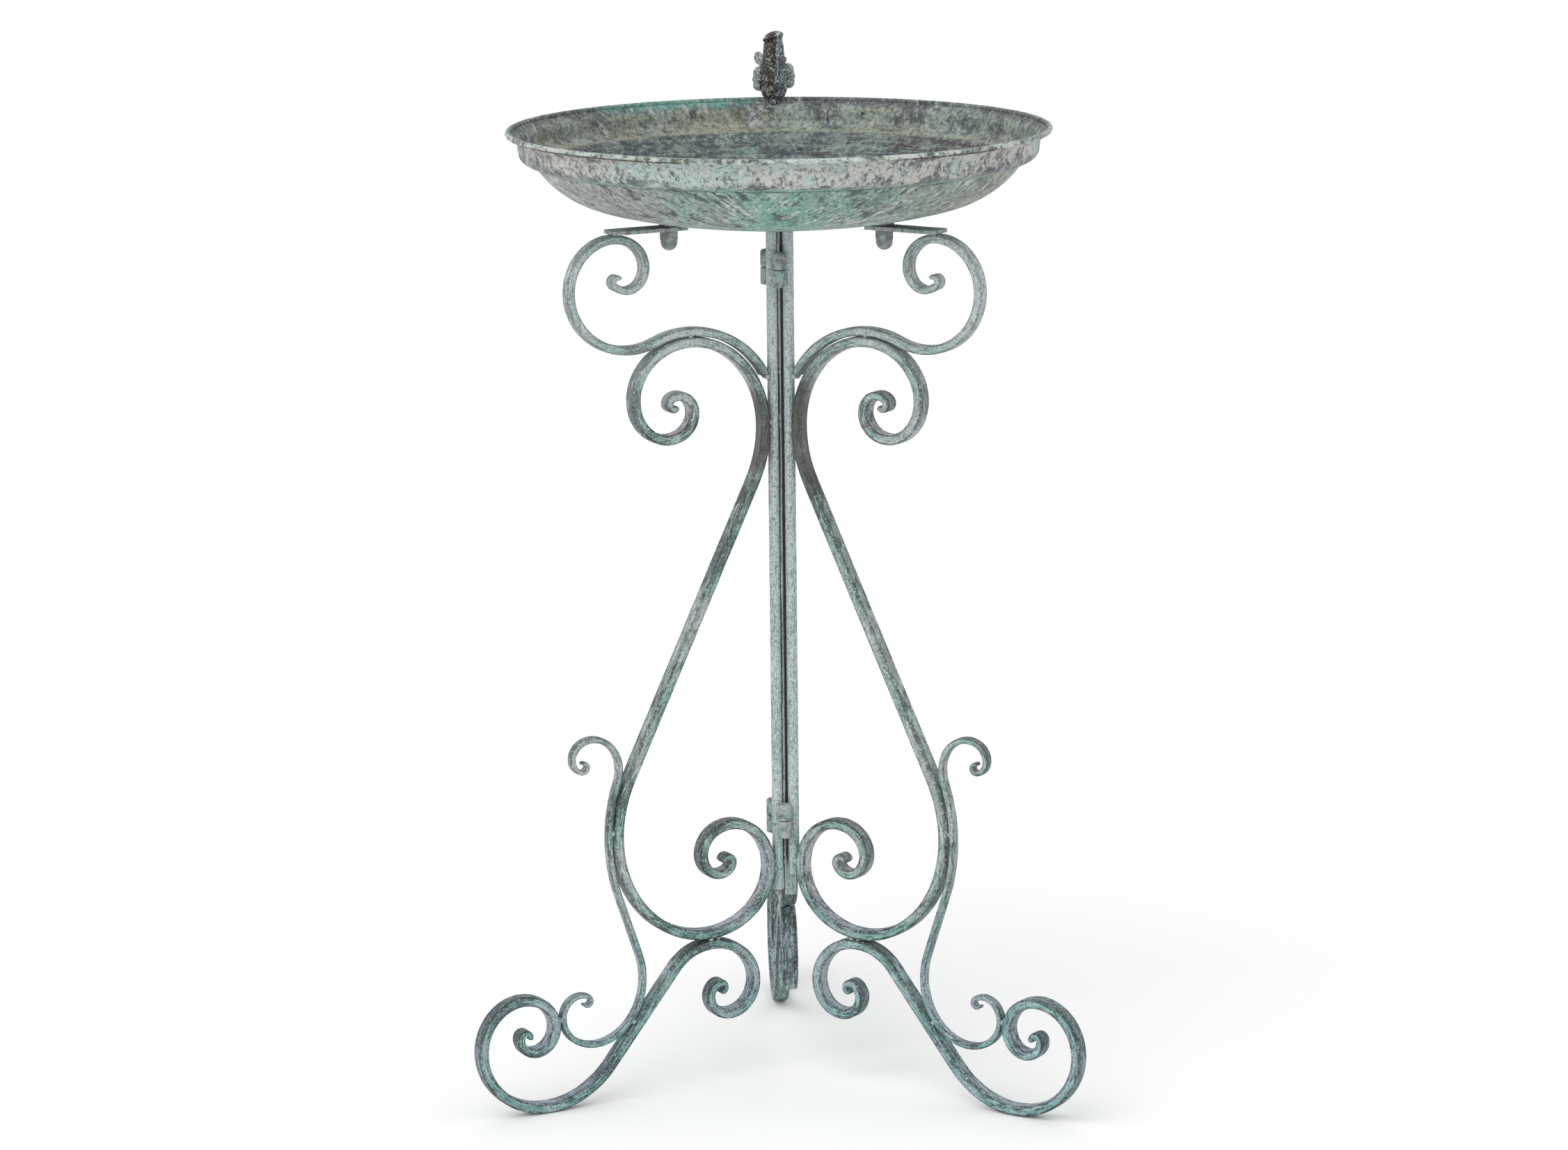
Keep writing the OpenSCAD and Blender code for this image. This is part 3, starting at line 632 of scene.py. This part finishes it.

# Bowl: a spun steel sheet, 1.6 mm thick, with a flat floor, a deep curve, a ledge, a band and a flared lip.
# The lip's edge is hemmed. It is painted like the stand and wiped back, with brush marks all over,
# a bright hem and a brown line beneath it.
sheet = 1.6
hem_radius = 2.2
bowl_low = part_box("bowl")[0].z * 1000
ledge_lean, wall_lean, lip_lean = 23, 84, 40
floor_radius = 395.05
flank_radius = floor_radius * 0.197
crease_radius = floor_radius * 0.015
floor_lean, flank_lean = 14.7, 39.3
flat_floor, ledge_width, band_height, lip_width = 38, 7.1, 5, 6.2
ledge_bend, lip_bend = 7.7, 8
bowl_line = chain((0, bowl_low, 0), [
    (flat_floor, 0, 0), (floor_radius, floor_radius, floor_lean), (flank_radius, flank_radius, flank_lean),
    (crease_radius, crease_radius, ledge_lean - floor_lean - flank_lean), (ledge_width, 0, 0),
    (ledge_bend, ledge_bend, wall_lean - ledge_lean), (band_height, 0, 0),
    (lip_bend, lip_bend, lip_lean - wall_lean), (lip_width, 0, 0)])
hem = beside(bowl_line[-1], sheet / 2)
hem_angles = [math.radians(a) for a in range(-125, 206, 15)]
roll = [(hem[0] + hem_radius * math.cos(a), hem[1] + hem_radius * math.sin(a)) for a in hem_angles]
hem_clear = 0.9
keep = [p for p in bowl_line if math.dist(p[:2], hem[:2]) > hem_radius + hem_clear]
inner = [beside(p, sheet) for p in keep]
profile = [p[:2] for p in keep] + roll + [p[:2] for p in reversed(inner[1:])] + [(0, bowl_low + sheet)]


ring_radius = 1.0


def lathe_tree():
    """Sweeps a half profile, measured from a ring, round that ring."""
    tree, take = new_tree("spun_bowl", {"Profile": "Geometry", "Paint": "Material"})
    line = take["Profile"]
    section = line.node("GeometryNodeMeshToCurve", {}, {0: line})
    ring = section.node("GeometryNodeCurvePrimitiveCircle", {}, {
        "Resolution": 256, "Radius": ring_radius})
    ring = ring.node("GeometryNodeSetCurveNormal", {"mode": "Z_UP"}, {0: ring})
    made = ring.node("GeometryNodeCurveToMesh", {}, {"Curve": ring, "Profile Curve": section})
    made = made.node("GeometryNodeMergeByDistance", {}, {"Geometry": made, "Distance": 0.00001})
    return close_tree(tree, made, take["Paint"])


def bowl_shader(marks):
    """Paint that changes along the profile, from the outside of the floor up and over to the inside."""
    material, place, surface = new_shader("verdigris_sheet")
    trace = attribute(place, "trace")
    flat = place.node("ShaderNodeVectorMath", {"operation": "MULTIPLY"}, {0: place, 1: (1, 1, 0)})
    ring = flat.node("ShaderNodeVectorMath", {"operation": "NORMALIZE"}, {0: flat})
    east = ring.node("ShaderNodeSeparateXYZ", {}, {0: ring})
    north = ring.node("ShaderNodeSeparateXYZ", {}, {0: ring}, 1)
    x = place.node("ShaderNodeSeparateXYZ", {}, {0: place})

    def strokes(lean, long, scale, seed):
        """Brush marks that run up the profile, leaning so many radians a metre."""
        turn = trace * lean
        c, s = turn.math("COSINE", turn, 0), turn.math("SINE", turn, 0)
        spun = turn.node("ShaderNodeCombineXYZ", {}, {
            0: (east * c - north * s) * 0.2, 1: (north * c + east * s) * 0.2, 2: trace * long + seed})
        return noise(spun, scale, 4, 0.62)

    def near(wire, middle, inner, outer):
        """1 within the inner distance of the middle, 0 beyond the outer one."""
        gap = wire - middle
        return 1 - gap.math("ABSOLUTE", gap, 0).step(inner, outer)

    def ragged(scale, seed):
        return noise(place, scale, 9, 0.72, (seed, seed * 0.7, 3))

    soft = noise(place, 13, 4, 0.6, shift=(2, 5, 1))
    cloud, blot, mottle, rag = ragged(42, 1), ragged(62, 8), ragged(150, 5), ragged(34, 9)
    daub = noise(place, 300, 6, 0.74, shift=(2, 2, 7))
    speck = noise(place, 1100, 3, 0.65)
    grit = noise(place, 2100, 2, 0.6)
    rings = place.node("ShaderNodeCombineXYZ", {}, {0: east * 0.012, 1: north * 0.012, 2: trace})
    spin = noise(rings, 300, 6, 0.68)
    falling, rising = strokes(5, 0.45, 260, 0.0), strokes(-5, 0.45, 260, 0.4)
    upright = strokes(1, 0.3, 210, 0.8)
    wave = vary(cloud, 0.008)
    hem, ledge, shelf = marks["hem"], marks["ledge"], marks["inner_ledge"]
    inside = (trace + wave * 0.2).step(hem + 0.001, hem + 0.004)
    basin = (trace + wave * 0.8).step(shelf - 0.002, shelf + 0.004)
    band = (trace + wave * 0.4).step(ledge + 0.003, ledge + 0.008) * (1 - inside)
    # Painted shade towards the bowl's left and right ends, where the band turns away.
    side_shade = 1 - near(x, 0.0, 0.06, 0.16)

    # Underside
    colour = blend(cloud.step(0.42, 0.58), srgb(0.53, 0.57, 0.55), srgb(0.53, 0.64, 0.61))
    colour = blend((soft * 0.3 - x).step(0.20, 0.28) * 0.7, colour, srgb(0.64, 0.63, 0.62))
    green = (near(x, 0.02, 0.0, 0.09) + vary(soft, 2)).step(0.35, 1.0)
    colour = blend(green * 0.7, colour, srgb(0.46, 0.68, 0.62))
    colour = blend((soft * 0.3 + x).step(0.19, 0.29) * 0.65, colour, srgb(0.51, 0.52, 0.44))
    scrub = blend((x + vary(cloud, 0.1)).step(-0.02, 0.02), falling, rising)
    colour = blend((blot + (0.5 - scrub) * 0.5).step(0.52, 0.62) * 0.8, colour, srgb(0.25, 0.29, 0.31))
    pale_strokes = (scrub + vary(mottle, 0.8) + vary(rag, 0.8)).step(0.56, 0.68)
    colour = blend(pale_strokes * 0.8, colour, srgb(0.80, 0.83, 0.80))
    dark_strokes = (1 - scrub + vary(mottle, 0.8) + vary(soft, 0.5)).step(0.60, 0.70)
    colour = blend(dark_strokes * 0.65, colour, srgb(0.24, 0.27, 0.28))

    # Outside of the band
    low = 1 - (trace + wave).step(ledge + 0.006, ledge + 0.020)
    belt = blend((cloud + (soft - 0.5)).step(0.40, 0.60), srgb(0.76, 0.75, 0.73), srgb(0.68, 0.76, 0.74))
    # Dark patches on the band, more of them low down, and more towards the ends as painted shade.
    patches_and_shade = (blot + vary(upright, 0.5) + low * 0.10 + side_shade * 0.07).step(0.54, 0.65)
    belt = blend(patches_and_shade * 0.9, belt, srgb(0.28, 0.31, 0.34))
    belt = blend((upright + vary(mottle, 0.9)).step(0.55, 0.67) * 0.6, belt, srgb(0.86, 0.86, 0.84))
    # Grey brush strokes, a few more towards the ends as painted shade.
    strokes_and_shade = (1 - upright + vary(mottle, 0.9) + side_shade * 0.03).step(0.58, 0.68)
    belt = blend(strokes_and_shade * 0.7, belt, srgb(0.36, 0.36, 0.37))
    colour = blend(band * 0.95, colour, belt)

    # Inside of the band
    thin = (cloud + vary(mottle, 0.6)).step(0.40, 0.56)
    wall = blend(thin, srgb(0.35, 0.38, 0.39), srgb(0.60, 0.65, 0.61))
    high = 1 - (trace + wave).step(hem + 0.006, hem + 0.022)
    # Painted shade: darker along the top of the inner wall, just inside the rim.
    rim_shade = (high + vary(soft, 2.0) + vary(mottle, 2.0)).step(0.45, 0.95)
    wall = blend(rim_shade * 0.75, wall, srgb(0.30, 0.30, 0.34))
    wall = blend((1 - high) * (mottle + soft).step(0.85, 1.20) * 0.7, wall, srgb(0.60, 0.60, 0.50))
    bloom = (near(x, -0.09, 0.03, 0.10) + high + cloud + vary(mottle, 1.5)).step(1.95, 2.45)
    wall = blend(bloom * 0.75, wall, srgb(0.45, 0.68, 0.63))
    wall = blend((upright + vary(blot, 0.9)).step(0.55, 0.67) * 0.7, wall, srgb(0.74, 0.75, 0.75))
    wall = blend((1 - mottle + vary(blot, 0.8)).step(0.55, 0.65) * 0.7, wall, srgb(0.22, 0.24, 0.25))
    colour = blend(inside, colour, wall)

    # Basin
    spun = (spin * 0.7 + 0.15 + vary(blot, 0.8) + vary(mottle, 0.4)).step(0.40, 0.62)
    floor = blend(spun, srgb(0.27, 0.29, 0.32), srgb(0.49, 0.54, 0.52))
    browned = (1 - spin + vary(rag, 0.8) + x * 0.8).step(0.54, 0.68)
    floor = blend(browned * 0.6, floor, srgb(0.31, 0.25, 0.21))
    floor = blend((mottle + vary(soft, 0.8)).step(0.56, 0.68) * 0.6, floor, srgb(0.52, 0.64, 0.59))
    colour = blend(basin, colour, floor)
    shelf_edge = near(trace + wave * 0.2, shelf - 0.001, 0.0006, 0.0024)
    colour = blend(shelf_edge * 0.6, colour, srgb(0.62, 0.62, 0.54))

    # Crease under the band, hem and the brown line beneath it
    seam = near(trace + wave * 0.2, ledge + 0.0026, 0.0006, 0.0026) * (rag + mottle).step(0.85, 1.10)
    colour = blend(seam * 0.85, colour, srgb(0.44, 0.68, 0.61))
    colour = blend(near(trace + wave * 0.1, ledge, 0.0003, 0.0014) * 0.85, colour, srgb(0.20, 0.25, 0.24))
    # Two spans of the rim where a brown line runs just under the hem.
    brown_spans = near(x, -0.12, 0.04, 0.08) + near(x, 0.13, 0.02, 0.05) * 0.7
    # The hem: pale, broken by grey-green and dark brownish patches.
    hem_colour = blend(rag.step(0.45, 0.55), srgb(0.76, 0.79, 0.77), srgb(0.55, 0.62, 0.60))
    hem_colour = blend((mottle + vary(rag, 0.5)).step(0.50, 0.58) * 0.85, hem_colour, srgb(0.36, 0.34, 0.28))
    colour = blend(near(trace, hem - 0.0006, 0.0010, 0.0026) * 0.95, colour, hem_colour)
    brown_line = near(trace, hem - 0.0036, 0.0008, 0.0018) * (brown_spans + vary(mottle, 2)).step(0.1, 0.5)
    colour = blend(brown_line * 0.95, colour, srgb(0.26, 0.19, 0.12))

    # Flecks all over
    flecks = (daub + vary(mottle, 0.6)).step(0.52, 0.60)
    colour = tinted(colour, flecks * 0.6, srgb(0.42, 0.45, 0.45))
    # Painted glints: pale specks all over, fewer inside the bowl.
    glint_specks = (1 - daub + vary(scrub, 0.5)).step(0.54, 0.62)
    colour = blend(glint_specks * (0.4 - inside * 0.15), colour, srgb(0.78, 0.84, 0.81))
    colour = tinted(colour, speck.step(0.54, 0.64) * 0.5, srgb(0.50, 0.52, 0.52))
    colour = tinted(colour, grit.step(0.55, 0.68) * 0.5, srgb(0.50, 0.52, 0.52))
    link(colour, surface, "Base Color")
    link(speck * 0.25 + flecks * 0.15 + 0.36, surface, "Roughness")
    bump(speck * 0.4 + grit * 0.2 + daub * 0.6 + scrub + mottle + spin * 0.3, surface, 0.8, 0.0012)
    return material


steps = [math.dist(a, b) for a, b in zip(profile, profile[1:])]
path_length = np.concatenate([[0], np.cumsum(steps)]) / 1000
hem_index = len(keep) + len(roll) // 2
ledge_mark = next(i for i, p in enumerate(bowl_line) if abs(p[2] - ledge_lean) < 0.01)
inner_ledge = len(keep) + len(roll) + (len(keep) - ledge_mark)
marks = {"hem": float(path_length[hem_index]), "ledge": float(path_length[ledge_mark]),
         "inner_ledge": float(path_length[inner_ledge])}
profile_mesh = line_mesh([(p[0] / 1000 - ring_radius, -p[1] / 1000, 0.0) for p in profile])
store(profile_mesh, "trace", path_length)
bowl_mesh = run_tree(lathe_tree(), profile_mesh, {"Paint": bowl_shader(marks)})
show(bowl_mesh, "bowl_sheet", "stand", "bowl")

# Studs and cap nuts: turned M8 studs with collars, welded under the bowl, that drop through the tabs.
# Zinc-plated cap nuts screw on from below; both have dulled and picked up a green bloom.
for leg in LEGS:
    for piece in ("stud", "cap_nut"):
        node = f"{leg}_{piece}"
        show(dressed(node, steel, soften=0.0004), f"{node}_turned", "stand", node)

# Bird: a small casting that perches on a saddle on the lip and faces into the bowl, wings half spread.
# It is brazed to the saddle and painted dark slate, browner on one side of the breast's ridge,
# with the wings and the tail rubbed pale, and a painted highlight in a strip beside the ridge.
perch = (Matrix.Rotation(math.radians(4), 4, "Z")
         @ Matrix.Translation((0, (hem[0] - 3) / 1000, (hem[1] + hem_radius) / 1000)))


def bird_shader():
    """Dark slate or brown, with pale rubbed places, a painted ridge highlight and pale painted glints."""
    material, place, surface = new_shader("dark_casting")
    pale, warm = attribute(place, "pale"), attribute(place, "warm")
    cloud = noise(place, 170, 5, 0.65)
    speck = noise(place, 760, 4, 0.7)
    tone = cloud.step(0.40, 0.62)
    slate = blend(tone, srgb(0.22, 0.24, 0.27), srgb(0.40, 0.44, 0.48))
    brown = blend(tone, srgb(0.15, 0.13, 0.12), srgb(0.28, 0.25, 0.22))
    colour = blend(warm, slate, brown)
    # Pale paint for the rubbed wings and tail, and for the painted highlight beside the breast's ridge.
    rubbed = blend(cloud.step(0.45, 0.58), srgb(0.60, 0.61, 0.62), srgb(0.58, 0.68, 0.65))
    colour = blend((pale + vary(cloud, 0.9)).step(0.25, 0.70) * 0.95, colour, rubbed)
    colour = tinted(colour, (speck + vary(cloud, 0.5)).step(0.49, 0.59) * 0.85, srgb(0.32, 0.33, 0.34))
    # Painted glints: pale specks, slightly fewer on the browner side.
    glint_specks = (1 - speck + vary(cloud, 0.4) - warm * 0.03).step(0.52, 0.60)
    colour = blend(glint_specks * 0.8, colour, srgb(0.80, 0.82, 0.82))
    link(colour, surface, "Base Color")
    link(speck * 0.3 + 0.28, surface, "Roughness")
    bump(speck + cloud, surface, 0.7, 0.0010)
    return material


bird_paint = bird_shader()
show(dressed("bird_saddle", bird_paint, soften=0.0004), "bird_saddle_cast", "stand", "bird_saddle")
# Height, half width, half depth and lean towards the bowl, up the body, in millimetres.
rings = np.array([
    (0.2, 8.2, 7.6, 0.0), (2.0, 9.2, 8.4, 0.2), (4.6, 10.2, 9.2, 0.5), (7.7, 10.7, 9.7, 1.0),
    (13.8, 11.0, 10.0, 2.0), (19.9, 10.5, 9.6, 3.1), (29.0, 9.1, 8.6, 4.8), (36.4, 8.3, 7.8, 6.1),
    (42.0, 7.9, 7.3, 7.0), (44.4, 7.3, 6.9, 7.2), (46.5, 7.3, 6.9, 7.3), (49.0, 6.2, 6.0, 7.4),
    (50.8, 3.4, 3.2, 7.4), (51.2, 0.6, 0.6, 7.4)])
around = np.linspace(0, 2 * math.pi, 73)[:-1]
ridge = np.where(np.cos(around) > 0, 1.38, 1.0)
work = bmesh.new()
hoops = []
for level in np.linspace(rings[0, 0], rings[-1, 0], 110):
    wide, deep, ahead = (np.interp(level, rings[:, 0], rings[:, i]) for i in (1, 2, 3))
    xs = wide * np.sign(np.sin(around)) * np.abs(np.sin(around)) ** ridge
    ys = -ahead - deep * np.sign(np.cos(around)) * np.abs(np.cos(around)) ** ridge
    hoop = [perch @ Vector((a / 1000, b / 1000, level / 1000)) for a, b in zip(xs, ys)]
    hoops.append([work.verts.new(place) for place in hoop])
for low, high in zip(hoops, hoops[1:]):
    for i in range(len(low)):
        work.faces.new((low[i - 1], low[i], high[i], high[i - 1]))
work.faces.new(hoops[0])
work.faces.new(hoops[-1])
# Crown, beak, tail in two lumps, three for each wing and one shoulder: place, radii and turns.
lumps = [
    ((0.4, -7.4, 48.6), (7.7, 7.6, 4.0), (0, -13, 0)),
    ((-5.0, -11.6, 47.0), (4.2, 2.6, 2.0), (0, -16, 40)),
    ((-7.4, 11.6, 23.5), (3.6, 2.4, 7.5), (-32, -20, 0)),
    ((-11.0, 16.0, 29.0), (4.2, 2.0, 6.2), (-32, -16, 0)),
    ((-11.2, 0.6, 19.0), (5.0, 4.8, 5.6), (0, 0, -24)),
    ((-11.8, 1.6, 14.0), (5.2, 5.0, 4.4), (0, 0, -24)),
    ((-11.4, 2.4, 9.4), (5.0, 5.0, 4.6), (0, 0, -24)),
    ((11.4, 0.6, 21.0), (4.6, 4.8, 5.8), (0, 0, 24)),
    ((12.2, 1.6, 16.4), (4.8, 5.0, 4.6), (0, 0, 24)),
    ((11.8, 2.4, 11.6), (4.8, 5.0, 5.0), (0, 0, 24)),
    ((8.6, 1.5, 29.5), (2.0, 2.6, 2.4), (0, 0, 0)),
]
for at, radii, turns in lumps:
    turn = Matrix.Rotation(math.radians(turns[2]), 4, "Z") @ Matrix.Rotation(math.radians(turns[0]), 4, "X")
    turn = turn @ Matrix.Rotation(math.radians(turns[1]), 4, "Y")
    size = Matrix.Diagonal((*(r / 1000 for r in radii), 1))
    bmesh.ops.create_icosphere(work, subdivisions=4, radius=1.0,
                               matrix=perch @ Matrix.Translation([v / 1000 for v in at]) @ turn @ size)
bmesh.ops.recalc_face_normals(work, faces=work.faces)
lump_mesh = bpy.data.meshes.new("lumps")
work.to_mesh(lump_mesh)
work.free()
clay = bpy.data.objects.new("clay", lump_mesh)
bpy.context.scene.collection.objects.link(clay)
skin = clay.modifiers.new("skin", "REMESH")
skin.mode, skin.voxel_size = "VOXEL", 0.0004
ease = clay.modifiers.new("ease", "SMOOTH")
ease.factor, ease.iterations = 0.5, 4
graph = bpy.context.evaluated_depsgraph_get()
bird_mesh = bpy.data.meshes.new_from_object(clay.evaluated_get(graph), depsgraph=graph)
bpy.data.objects.remove(clay)
bird_mesh.shade_smooth()
bird_mesh.materials.clear()
bird_mesh.materials.append(bird_paint)
spots = np.empty(len(bird_mesh.vertices) * 3, np.float32)
bird_mesh.vertices.foreach_get("co", spots)
home = np.array(perch.inverted())
local = (spots.reshape(-1, 3) @ home[:3, :3].T + home[:3, 3]) * 1000
x, y, z = local.T
wings = np.clip((np.abs(x) - np.interp(z, rings[:, 0], rings[:, 1])) / 1.2, 0, 1) * (z < 40)
tail = np.clip((y - 9) / 4, 0, 1)
ridge_line = 0.2 + z * 0.035
# Painted highlight: a pale strip beside the breast's ridge, on its front and upper part.
beside_ridge = 0.75 * np.clip(1 - np.abs(x - ridge_line - 1.6) / 1.8, 0, 1)
breast_highlight = beside_ridge * (y < -6) * np.clip((z - 22) / 6, 0, 1)
store(bird_mesh, "pale", np.clip(wings + tail + breast_highlight, 0, 1))
store(bird_mesh, "warm", np.clip((ridge_line - x) / 0.8 + 0.5, 0, 1))
show(bird_mesh, "bird_cast", "stand", "bird")

# Stage: a plain pale floor under an even white sky, and the camera at the photograph's angle.
# A broad key light comes from the front left and a weak fill from the front right.
floor_reach = 30
corners = [(-1, -1), (1, -1), (1, 1), (-1, 1)]
floor_mesh = bpy.data.meshes.new("floor")
floor_mesh.from_pydata([(a * floor_reach, b * floor_reach, 0) for a, b in corners], [], [(0, 1, 2, 3)])
floor = bpy.data.objects.new("floor", floor_mesh)
bpy.context.scene.collection.objects.link(floor)
floor_paint = bpy.data.materials.new("floor")
floor_paint.use_nodes = True
floor_look = floor_paint.node_tree.nodes["Principled BSDF"].inputs
floor_look["Base Color"].default_value = (0.92, 0.92, 0.92, 1)
floor_look["Roughness"].default_value = 0.9
floor_mesh.materials.append(floor_paint)
world = bpy.data.worlds.new("studio")
world.use_nodes = True
sky = world.node_tree.nodes["Background"].inputs
sky["Color"].default_value = (1, 1, 1, 1)
sky["Strength"].default_value = 0.84
bpy.context.scene.world = world


def sun(name, place, angle, power):
    data = bpy.data.lights.new(name, "SUN")
    data.angle, data.energy = math.radians(angle), power
    made = bpy.data.objects.new(name, data)
    made.rotation_mode = "QUATERNION"
    made.rotation_quaternion = (-Vector(place)).to_track_quat("-Z", "Y")
    bpy.context.scene.collection.objects.link(made)


sun("key", (-0.7, -1.0, 1.1), 60, 1.35)
sun("fill", (1.2, -1.0, 0.7), 90, 0.25)
camera_data = bpy.data.cameras.new("camera")
camera_data.sensor_width, camera_data.lens = 36, 115.5
camera_place = (0.1971, -3.7506, 1.1707)
camera = bpy.data.objects.new("camera", camera_data)
pitch, yaw, roll_angle = math.radians(11.671), math.radians(3), math.radians(0.6)
ahead = Vector((-math.sin(yaw) * math.cos(pitch), math.cos(yaw) * math.cos(pitch), -math.sin(pitch)))
right = Vector((math.cos(yaw), math.sin(yaw), 0))
up = right.cross(ahead)
tilted_right = right * math.cos(roll_angle) - up * math.sin(roll_angle)
tilted_up = up * math.cos(roll_angle) + right * math.sin(roll_angle)
camera.matrix_world = Matrix.Translation(camera_place) @ Matrix(
    (tilted_right, tilted_up, -ahead)).transposed().to_4x4()
bpy.context.scene.collection.objects.link(camera)
bpy.context.scene.camera = camera
bpy.context.scene.view_settings.view_transform = "Standard"
